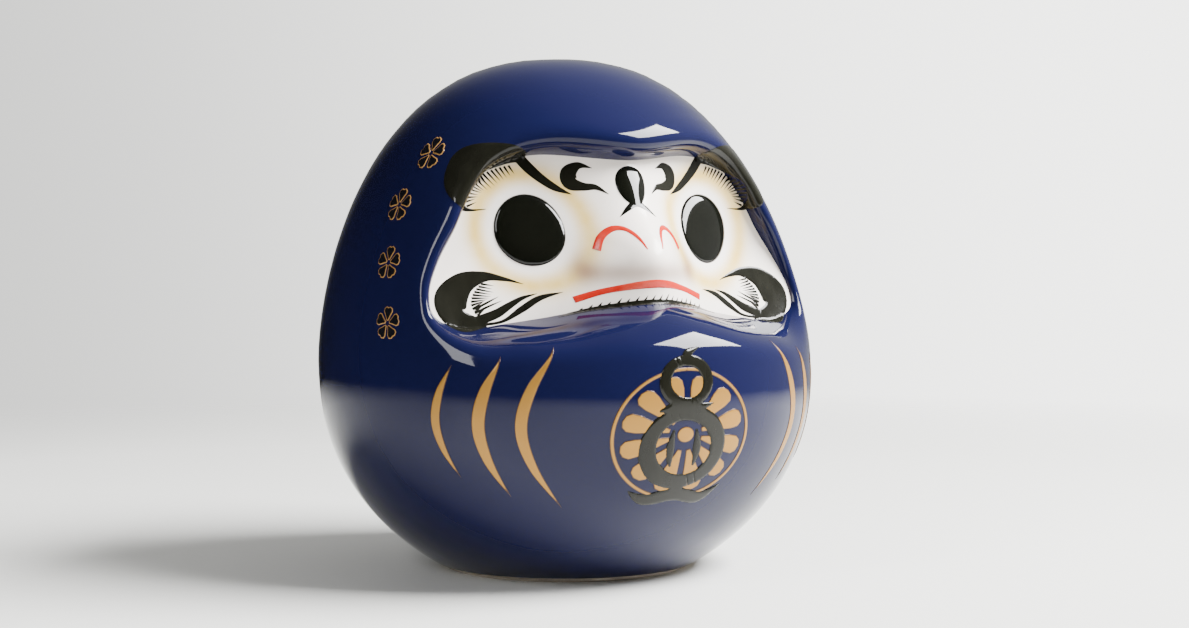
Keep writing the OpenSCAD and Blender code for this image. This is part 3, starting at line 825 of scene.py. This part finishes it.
brow_loops = [brush([(-39.2, 105.8), (-45.2, 105.9), (-47.9, 109.6), (-46.6, 114.8), (-41.6, 119.3),
                     (-34.2, 121.2), (-28, 120.2)],
                    [0.05, 0.7, 2.9, 3.3, 4.4, 2.8, 1.0], [0.05, 0.6, 2.9, 3.3, 3.9, 3.2, 1.2], steps=70)]
brow_root = open_curve([(-44.8, 106.6), (-45.2, 109), (-43.8, 112.6), (-40.6, 115), (-36.4, 117),
                        (-32.2, 118)], np.linspace(0, 1, 40))
brow_loops += flat_strokes("brow_comb", brow_root, False, HAIR, 16,
                           {"Lean": math.radians(-76), "Fan": math.radians(16),
                            "End Length": 3.4, "Middle Length": 5.0,
                            "Unevenness": 0.16, "Seed": 4, "Enamel": brush_black.material})
pair("brow_patch", brow_loops, brush_black, "black_enamel", "brow", grain=0.6)
sweep = brush([(-30, 121.2), (-27, 117.6), (-23.6, 114.4), (-20, 111.8), (-15.9, 109.9)],
              [1.5, 1.5, 1.25, 0.95, 0.03])
pair("brow_sweep", [sweep], brush_black, "black_enamel", "brow_stroke", grain=0.6)
comma = brush([(-10.2, 117.3), (-13.6, 118), (-16.2, 116), (-16, 113.2), (-13, 112.1), (-9.8, 111.9),
               (-6.9, 110)],
              [0.05, 1.0, 2.1, 2.0, 1.2, 0.75, 0.03], steps=60)
pair("forehead_comma", [comma], brush_black, "black_enamel", "forehead_mark", grain=0.5)

DROP_Z = 112.3
DROP_RX = 4.6
DROP_RZ = 5.6


def drop_dome(q):
    far = ((q - (0, DROP_Z)) / (DROP_RX, DROP_RZ)) ** 2
    return 0.7 * np.clip(1 - far.sum(1), 0, None)


turns = np.radians(np.arange(0, 360, 6))
narrowing = 1 + 0.16 * np.cos(turns)
drop = np.stack([DROP_RX * np.sin(turns) * narrowing, DROP_Z + DROP_RZ * np.cos(turns)], 1)
legs = brush([(-5.8, 103.6), (-2.8, 106.1), (0, 107.4), (2.8, 106.1), (5.8, 103.6)],
             [0.03, 0.6, 0.9, 0.6, 0.03], [0.03, 0.7, 0.9, 0.7, 0.03])
bridge = lay_enamel("bridge_drop", [drop, legs], on_front, grain=0.5, dome=drop_dome)
settle(bridge, gloss_black, "black_enamel", "bridge_mark")

# ---- nose, mouth, beard and whiskers -----------------------------------------
# Thin red lines with pale spots where the brush ran dry, and black whiskers
# combed towards the nose.

red = Finish("brush_red", Roughness=0.2, Specular_IOR_Level=0.3)
dry = red.noise(95, 3)
red.set(Base_Color=red.mix(((dry - 0.52) * 6).kept() * 0.45, rgb(186, 34, 22), rgb(214, 92, 72)))
nose = brush([(-13.2, 94.5), (-11.6, 98), (-8.8, 100.3), (-6, 100.4), (-3.8, 98.3), (-2.4, 94.8)],
             [0.9, 0.8, 0.72, 0.62, 0.5, 0.15])
pair("nose_arc", [nose], red, "red_enamel", "nose_line", grain=0.4)
mouth = brush([(-20.2, 80.8), (-11.5, 83.6), (0, 85.3), (11.5, 83.6), (20.2, 80.8)],
              [0.9, 0.8, 1.15, 0.8, 0.9], steps=90)
settle(lay_enamel("mouth_arc", [mouth], on_front, grain=0.4), red, "red_enamel", "mouth_line")

chin = open_curve([(19, 77.9), (11, 79.6), (0, 80.7), (-11, 79.6), (-19, 77.9)],
                  np.linspace(0, 1, 24))
beard_loops = [brush([(25, 76.2), (14, 78.8), (0, 80.3), (-14, 78.8), (-25, 76.2)],
                     [0.05, 0.5, 0.7, 0.5, 0.05])]
beard_loops += flat_strokes("beard_comb", chin, False, HAIR, 18,
                            {"Lean": math.radians(-122), "Fan": math.radians(-40),
                             "End Length": 1.4, "Middle Length": 2.6,
                             "Unevenness": 0.4, "Seed": 9, "Enamel": brush_black.material})
beard = lay_enamel("beard_hairs", beard_loops, on_front, grain=0.5)
settle(beard, brush_black, "black_enamel", "beard_strokes")

whisker_loops = [brush([(-43.2, 74.4), (-50.6, 75.4), (-52.2, 80.2), (-48.4, 85.4), (-42, 87.2),
                        (-36.6, 86.5), (-31.7, 85.1)],
                       [0.9, 3.1, 4.9, 2.9, 1.4, 0.6, 0.03], [0.8, 3.4, 4.4, 3.4, 1.5, 0.6, 0.03],
                       steps=90)]
cheek_root = open_curve([(-45.4, 76.6), (-46.6, 78.8), (-46.3, 81.2), (-45, 83.3), (-43, 85.2)],
                        np.linspace(0, 1, 40))
whisker_loops += flat_strokes("cheek_comb", cheek_root, False, HAIR, 11,
                              {"Lean": math.radians(-68), "Fan": math.radians(36),
                               "End Length": 4.0, "Middle Length": 5.4,
                               "Unevenness": 0.2, "Seed": 2, "Enamel": brush_black.material})
whisker_loops.append(brush([(-46, 75), (-40.2, 77.0), (-36.4, 79.2), (-32.6, 81.3), (-28.7, 82.5)],
                           [1.3, 1.2, 0.9, 0.5, 0.03]))
whisker_loops.append(brush([(-44.6, 74.1), (-38.7, 75), (-33.1, 78.3), (-28.2, 81.3), (-22.4, 82.9)],
                           [0.4, 0.4, 0.85, 0.7, 0.03]))
for low, reach in ((77.2, 6.6), (78.3, 5.8)):
    whisker_loops.append(brush([(-46, low), (-42.5, low + 1.6), (-46 + reach + 1.4, low + 3.4)],
                               [0.3, 0.3, 0.03]))
pair("cheek_whisker", whisker_loops, brush_black, "black_enamel", "whisker", grain=0.6)

# ---- robe stripes and crest --------------------------------------------------
# Flat gold enamel with a thin dark line round each shape, left by the
# drawing underneath.

gold = Finish("satin_gold", Metallic=0.3, Specular_IOR_Level=0.4)
flake = gold.noise(700, 5)
wash = gold.noise(50, 3)
inset = gold.read("ShaderNodeAttribute", {"attribute_name": "inset"}, outlet="Fac")
outline = 1 - ((inset - 0.16) / 0.14).kept()
gold_base = gold.mix(wash, rgb(160, 116, 40), rgb(144, 101, 34))
gold.set(Base_Color=gold.mix(outline, gold_base, rgb(58, 38, 30)), Roughness=0.30 + 0.16 * flake)
gold.bump(flake, 0.00003)

STRIPES = [(28, 69, 25, 8.5, 3.6), (40, 66.5, 28, 6, 4), (51.7, 64, 33, 4.5, 3)]
for number, (bearing, top, bottom, swing, width) in enumerate(STRIPES, 1):
    swing_mm = math.radians(swing) * ROBE_R
    spine = [(-swing_mm * math.sin(math.pi * u), (bottom - top) * u) for u in (0, 0.25, 0.5, 0.75, 1)]
    loop = brush(spine, [0.03, 0.42 * width, 0.5 * width, 0.36 * width, 0.03], steps=90)

    def on_stripe(q, bearing=bearing, top=top):
        z = q[:, 1] + top
        angle = np.radians(-bearing) + q[:, 0] / ROBE_R
        return on_front(np.stack([body_r(z) * np.sin(angle), z], 1))

    pair(f"fold_stripe_{number}", [loop], gold, "gold", f"robe_stripe_{number}",
         place=on_stripe, grain=0.35)

crest_low, crest_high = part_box("crest_ring")
CREST_Z = 500 * (crest_low.z + crest_high.z) / TALL
CREST_R = round(500 * (crest_high.x - crest_low.x) / WIDE - 0.6, 1)
CREST_FLAT = round(500 * (crest_high.z - crest_low.z) / TALL - 0.5, 1) / CREST_R
PETALS = 12


def in_crest(loop):
    """Moves a flat shape from a round crest at 0 into the slightly flattened crest on the robe."""
    return np.asarray(loop) * (1, CREST_FLAT) + (0, CREST_Z)


def hoop(radius, half_width):
    """A flat hoop as two half hoops that meet, since a loop can't have a hole."""
    parts = []
    for start in (0, 180):
        a = np.radians(np.linspace(start, start + 180, 73))
        arc = np.stack([np.sin(a), np.cos(a)], 1)
        outer, inner = arc * (radius + half_width), arc * (radius - half_width)
        parts.append(in_crest(np.vstack([outer, inner[::-1]])))
    return parts


crest = lay_enamel("crest_hoop", hoop(CREST_R, 0.6), on_front, grain=0.3)
settle(crest, gold, "gold", "crest_ring")
PETAL = [(0.24, -0.7), (0.5, -1.8), (0.76, -3.0), (0.9, -3.1), (0.98, -2.0), (1.01, 0),
         (0.98, 2.0), (0.9, 3.1), (0.76, 3.0), (0.5, 1.8), (0.24, 0.7)]
turns = np.radians(np.arange(0, 360, 5) + 15)
hub_ring = np.stack([0.6 * np.sin(turns), 0.6 * np.cos(turns)], 1)
petal_loops = flat_strokes("crest_petals", hub_ring, True, PETAL, PETALS,
                           {"Lean": math.radians(90), "Fan": 0.0,
                            "End Length": CREST_R - 2.4, "Middle Length": CREST_R - 2.4,
                            "Unevenness": 0.0, "Seed": 0, "Enamel": gold.material})
petals = lay_enamel("crest_flower", [in_crest(loop) for loop in petal_loops], on_front, grain=0.4)
settle(petals, gold, "gold", "crest_petals")
hub = lay_enamel("crest_button", [in_crest(oval((0, 0), 2.6, 2.6))], on_front, grain=0.35)
settle(hub, gold, "gold", "crest_hub")

# ---- belly motif and side blossoms -------------------------------------------
# A brushed black gourd with a swash over the crest, and plum blossoms down
# each side of the robe, which have a thin gold line round the black.

def bent(points, widths, steps=40):
    return brush(np.array(points) + (0, CREST_Z), widths, steps=steps)


def lobe(z, rx, rz, half_width):
    """A brushed loop of the gourd, heavier on one side, as two strokes that meet."""
    parts = []
    for start in (-20, 160):
        a = np.radians(np.linspace(start - 6, start + 186, 12))
        parts.append(bent(np.stack([rx * np.sin(a), z + rz * np.cos(a)], 1), half_width, 60))
    return parts


gourd = lobe(14.4, 6.6, 5.8, [1.4, 1.8, 1.4]) + lobe(-3.6, 11, 9.6, [1.9, 2.6, 1.9])
gourd.append(bent([(-8.5, 6.6), (-3, 7.6), (3, 7.2), (9, 8.4)], [0.4, 1.7, 1.4, 0.1]))
gourd.append(bent([(0, 19), (0.6, 22), (4.4, 23.6)], [1.4, 1.2, 0.1]))
gourd.append(bent([(0, -11.8), (0, -16)], [1.5, 1.5]))
gourd += [bent([(x, 1.4), (x * 1.2, -4), (x, -9)], [0.3, 1.3, 0.4]) for x in (-3.6, 3.4)]
gourd.append(bent([(-14.2, -15.5), (-9, -18), (0, -16.8), (8, -18.2), (14.4, -15)],
                  [0.2, 1.6, 1.9, 1.6, 0.1], 60))
motif = lay_enamel("belly_gourd", gourd, on_front, grain=0.6, lift=0.3)
settle(motif, brush_black, "black_enamel", "belly_motif")

lined_black = Finish("lined_black", Specular_IOR_Level=0.22)
line_inset = lined_black.read("ShaderNodeAttribute", {"attribute_name": "inset"}, outlet="Fac")
on_line = 1 - ((line_inset - 0.18) / 0.12).kept()
lined_black.set(Base_Color=lined_black.mix(on_line, rgb(16, 16, 20), rgb(150, 112, 62)),
                Roughness=0.14 + 0.2 * lined_black.noise(400, 3))
BLOSSOMS = [(68.5, 121.5), (73.5, 107), (72, 91), (69.5, 74.5)]
LEAF = [(0.0, -0.3), (0.3, -0.9), (0.62, -1.7), (0.85, -1.65), (1.0, -0.7), (0.93, 0),
        (1.0, 0.7), (0.85, 1.65), (0.62, 1.7), (0.3, 0.9), (0.0, 0.3)]
turns = np.radians(np.arange(0, 360, 10))
bud_ring = np.stack([0.7 * np.sin(turns), 0.7 * np.cos(turns)], 1)
blossom = flat_strokes("blossom", bud_ring, True, LEAF, 5,
                       {"Lean": math.radians(90), "Fan": 0.0, "End Length": 3.9, "Middle Length": 3.9,
                        "Unevenness": 0.0, "Seed": 0, "Enamel": lined_black.material})


def all_blossoms(name, mirrored):
    pieces = [lay_enamel(f"{name}_{i}", blossom, on_side(*spot), grain=0.35, mirrored=mirrored)
              for i, spot in enumerate(BLOSSOMS)]
    with bpy.context.temp_override(active_object=pieces[0], object=pieces[0], selected_objects=pieces,
                                   selected_editable_objects=pieces):
        bpy.ops.object.join()
    pieces[0].name = name
    return pieces[0]


for side, mirrored in (("right", False), ("left", True)):
    spray = all_blossoms(f"{side}_plum_blossoms", mirrored)
    settle(spray, lined_black, "black_enamel", f"{side}_side_blossoms")

# ---- stopper -----------------------------------------------------------------
# Moulded rubber plug. Its CAD shape is right as it is, so it only gets the
# look of soft pale rubber.

rubber = Finish("pale_rubber", Roughness=0.62, IOR=1.45)
rubber_cloud = rubber.noise(90, 3)
rubber.set(Base_Color=rubber.mix(rubber_cloud, rgb(206, 201, 190), rgb(188, 182, 169)))
rubber.bump(rubber.noise(1400, 3), 0.00006)
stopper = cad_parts["stopper"]
for slot in stopper.material_slots:
    slot.material = rubber.material
